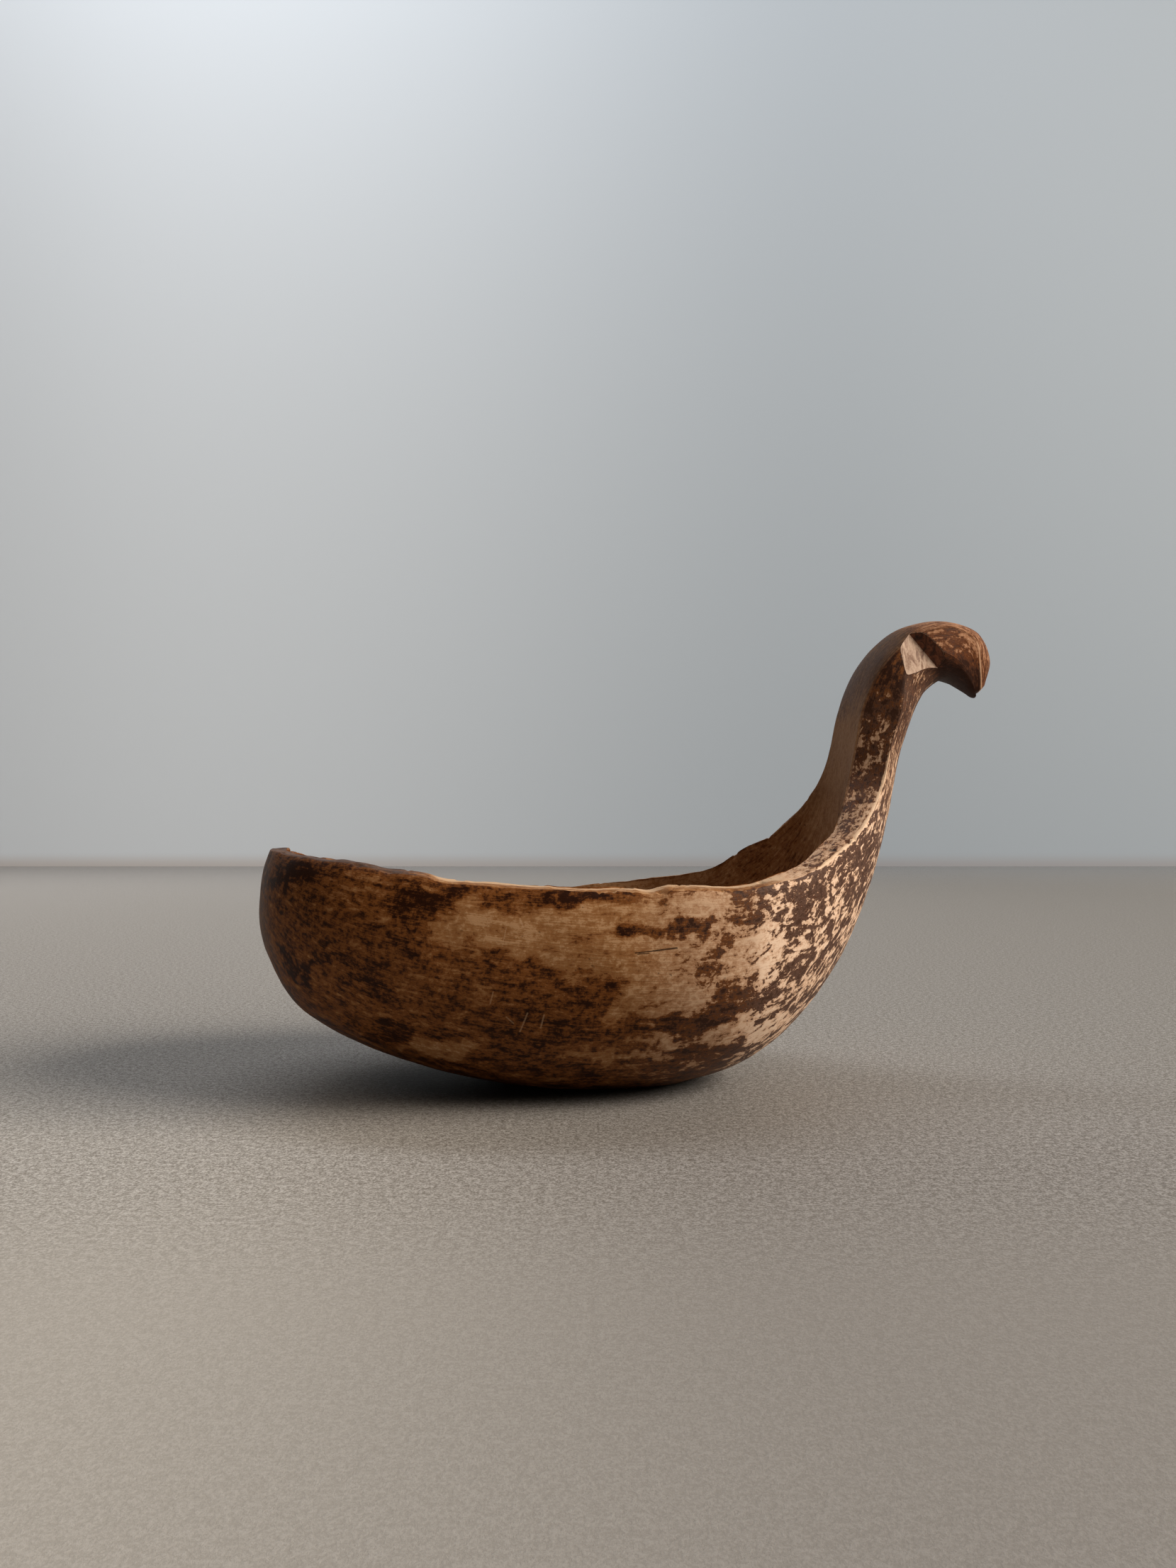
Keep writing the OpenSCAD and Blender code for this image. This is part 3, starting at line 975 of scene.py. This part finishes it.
# Painted shade where floor and wall meet, which also blends the two into one shade along the line.
FLOOR_MEETING_SHADE = ("bab8b8", "a5a8ac")
WALL_MEETING_SHADE = ("c8c7c9", "9d9fa5")
# Painted light on the floor close in front of the scoop, brighter at the left and darker at the
# right: its shades left and right, over which x they change, over which y they set in, and where
# far in front they end
NEAR_PAINTED_LIGHT_SHADES = ("d2d0cd", "aba9a8")
NEAR_FADE = (-0.09, 0.04)
NEAR_BEGINS, FAR_IN_FRONT = (0.05, -0.10), (-0.9, -0.35)
# The floor's grit: its two noises, the share of the second, the noise at which it turns from
# dark to light, its shades, and where in front of the scoop it fades into one shade
FINE_GRIT, COARSE_GRIT, COARSE_SHARE = (1700, 4, 0.75), (600, 3, 0.6), 0.3
GRIT_RANGE, GRIT_SHADES = (0.42, 0.60), ("a8a49e", "ffffff")
GRIT_FADE, GRIT_FADED, GRIT_SOFT = (-0.085, -0.17), 0.8, "dcdad6"
# Where the painted light begins and ends to change over the stage, how far the meeting's painted
# shade reaches in front of the wall and up it, in metres
PAINTED_LIGHT_FADE = (-1.2, 0.7)
MEETING_ON_FLOOR, MEETING_ON_WALL = 1.3, 0.035
# A painted contact shadow on the strip of floor under the bowl: what makes its half length and
# half width 1, its middle in that measure, where it fades, and how dark it is
SCOOP_TO_UNIT = (1 / 0.055, 1 / 0.036, 0.0)
CONTACT_MIDDLE = (-0.36, -0.12, 0.0)
CONTACT_FADE, CONTACT_SHADOW_DARK = (1.15, 0.55), 0.85


def stage_painted_light(s, x, shades, meeting_shades, near_meeting):
    """Painted light falling off from left to right, blended into painted shade where parts meet.
    """
    across = s.step(x, *PAINTED_LIGHT_FADE)
    own, meeting = (s.mix(across, colour(left), colour(right))
                    for left, right in (shades, meeting_shades))
    return s.mix(near_meeting, own, meeting)


def floor_material():
    s = Shader("pale_floor")
    place = s.coordinates()
    x, y = s.axis(place, "X"), s.axis(place, "Y")
    near_wall = s.step(y, WALL_BEHIND - MEETING_ON_FLOOR, WALL_BEHIND)
    # Painted light: the floor brighter at the left and darker at the right, with painted shade
    # towards the wall.
    plain = stage_painted_light(s, x, FLOOR_PAINTED_LIGHT, FLOOR_MEETING_SHADE, near_wall)
    # Painted light: a brighter pool on the floor in front of the scoop, falling off to the right.
    close = s.mix(s.step(x, *NEAR_FADE), *map(colour, NEAR_PAINTED_LIGHT_SHADES))
    not_far = s.step(y, *FAR_IN_FRONT)
    plain = s.mix(s.math("MULTIPLY", s.step(y, *NEAR_BEGINS), not_far), plain, close)
    grit = s.blend(COARSE_SHARE, s.noise(place, *FINE_GRIT), s.noise(place, *COARSE_GRIT))
    gritty = s.mix(s.step(grit, *GRIT_RANGE), *map(colour, GRIT_SHADES))
    soft = s.math("MULTIPLY", s.step(y, *GRIT_FADE, 0.0, GRIT_FADED), not_far)
    shade = s.mix(1.0, s.mix(soft, gritty, colour(GRIT_SOFT)), plain, "MULTIPLY")
    # Painted shadow: the floor darkened towards black under the bowl, where shade falls.
    from_contact = s.distance(s.vector("MULTIPLY", place, SCOOP_TO_UNIT), CONTACT_MIDDLE)
    painted_contact_shadow = s.step(from_contact, *CONTACT_FADE, 0.0, CONTACT_SHADOW_DARK)
    return s.surface(Base_Color=s.mix(painted_contact_shadow, shade, colour("000000")), Roughness=0.7,
                     Normal=s.bump(grit, 0.0004, 0.4), Specular_IOR_Level=0.3)


def wall_material():
    s = Shader("pale_wall")
    place = s.coordinates()
    x, z = s.axis(place, "X"), s.axis(place, "Z")
    near_floor = s.step(z, MEETING_ON_WALL, 0.0)
    # Painted light: the wall brighter at the left and darker at the right, with painted shade at
    # its foot.
    return s.surface(Base_Color=stage_painted_light(s, x, WALL_PAINTED_LIGHT, WALL_MEETING_SHADE, near_floor),
                     Roughness=0.9, Specular_IOR_Level=0.1)


# ---------------------------------------------------------------------------------------
# Camera, floor, wall and lights
# ---------------------------------------------------------------------------------------
# The camera: its turn and tilt in degrees, its place in mm, its lens in mm
CAMERA_YAW = 8.0
CAMERA_UP = 2.65
CAMERA_AT = (-3.3, -335.0, 70.0)
LENS = 26.04
SENSOR = 36
# The lights: place, the point aimed at and the two sides in metres, power in watts, colour
LIGHTS = {
    "window": ((3.6, -1.15, 2.15), (0, 0, 0.05), (2.5, 1.9), 232, "fff2e2"),
    "wall_wash": ((-0.35, 0.9, 3.1), (0.05, 2.33, 1.2), (3.0, 1.0), 39, "fbfcff"),
}
SKY, SKY_STRENGTH = "dccbb8", 0.20


def from_camera_side(x, y, z):
    """A point given to the right of, behind and above the scoop as the camera faces it."""
    return Matrix.Rotation(math.radians(-CAMERA_YAW), 3, "Z") @ Vector((x, y, z))


def add_camera():
    camera = bpy.data.cameras.new("camera")
    camera.lens = LENS
    camera.sensor_width = SENSOR
    obj = add_object("camera", camera)
    obj.location = from_camera_side(*CAMERA_AT) * MM
    obj.rotation_euler = (math.radians(90 + CAMERA_UP), 0, math.radians(-CAMERA_YAW))
    bpy.context.scene.camera = obj


def add_floor_and_wall():
    """A floor and a wall standing on it, both facing the camera."""
    w, h = FLOOR_HALF, WALL_HEIGHT
    floor = [(-w, -w, 0), (w, -w, 0), (w, WALL_BEHIND, 0), (-w, WALL_BEHIND, 0)]
    wall = [(-w, WALL_BEHIND, 0), (w, WALL_BEHIND, 0),
            (w, WALL_BEHIND, h), (-w, WALL_BEHIND, h)]
    for name, corners, material in (("floor", floor, floor_material()),
                                    ("wall", wall, wall_material())):
        mesh = bpy.data.meshes.new(name)
        mesh.from_pydata(corners, [], [(0, 1, 2, 3)])
        mesh.materials.append(material)
        obj = add_object(name, mesh)
        obj.rotation_euler = (0, 0, math.radians(-CAMERA_YAW))


def add_light(name, place, aim, size, power, shade):
    light = bpy.data.lights.new(name, "AREA")
    light.shape, light.size, light.size_y = "RECTANGLE", size[0], size[1]
    light.energy, light.color = power, colour(shade)[:3]
    obj = add_object(name, light)
    obj.location = from_camera_side(*place)
    toward = from_camera_side(*aim) - obj.location
    obj.rotation_euler = toward.to_track_quat("-Z", "Y").to_euler()


def add_lights():
    for name, light in LIGHTS.items():
        add_light(name, *light)
    world = bpy.data.worlds.new("studio")
    world.use_nodes = True
    background = world.node_tree.nodes["Background"]
    background.inputs["Color"].default_value = colour(SKY)
    background.inputs["Strength"].default_value = SKY_STRENGTH
    bpy.context.scene.world = world


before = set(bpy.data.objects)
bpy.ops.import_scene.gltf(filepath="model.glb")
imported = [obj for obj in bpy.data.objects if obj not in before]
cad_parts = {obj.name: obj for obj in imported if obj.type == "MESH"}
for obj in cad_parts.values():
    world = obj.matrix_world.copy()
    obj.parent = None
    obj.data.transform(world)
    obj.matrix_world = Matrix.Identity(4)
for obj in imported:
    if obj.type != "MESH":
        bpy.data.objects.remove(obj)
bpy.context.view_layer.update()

carving = add_object("scoop_carving", scoop_mesh())
carving.data.materials.append(patina())
tidy_mesh(carving.data)
# The notch's upper wall takes the darker copy of the cut wood: painted shade.
cut_notches(carving, cut_wood("cut_wood", PALE_CUT), cut_wood("shaded_cut_wood", SHADED_CUT))
carving.data.set_sharp_from_angle(angle=math.radians(ARRIS_ANGLE))
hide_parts("scoop")
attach(carving, "root")

add_floor_and_wall()
add_lights()
add_camera()
bpy.context.scene.view_settings.view_transform = "Standard"
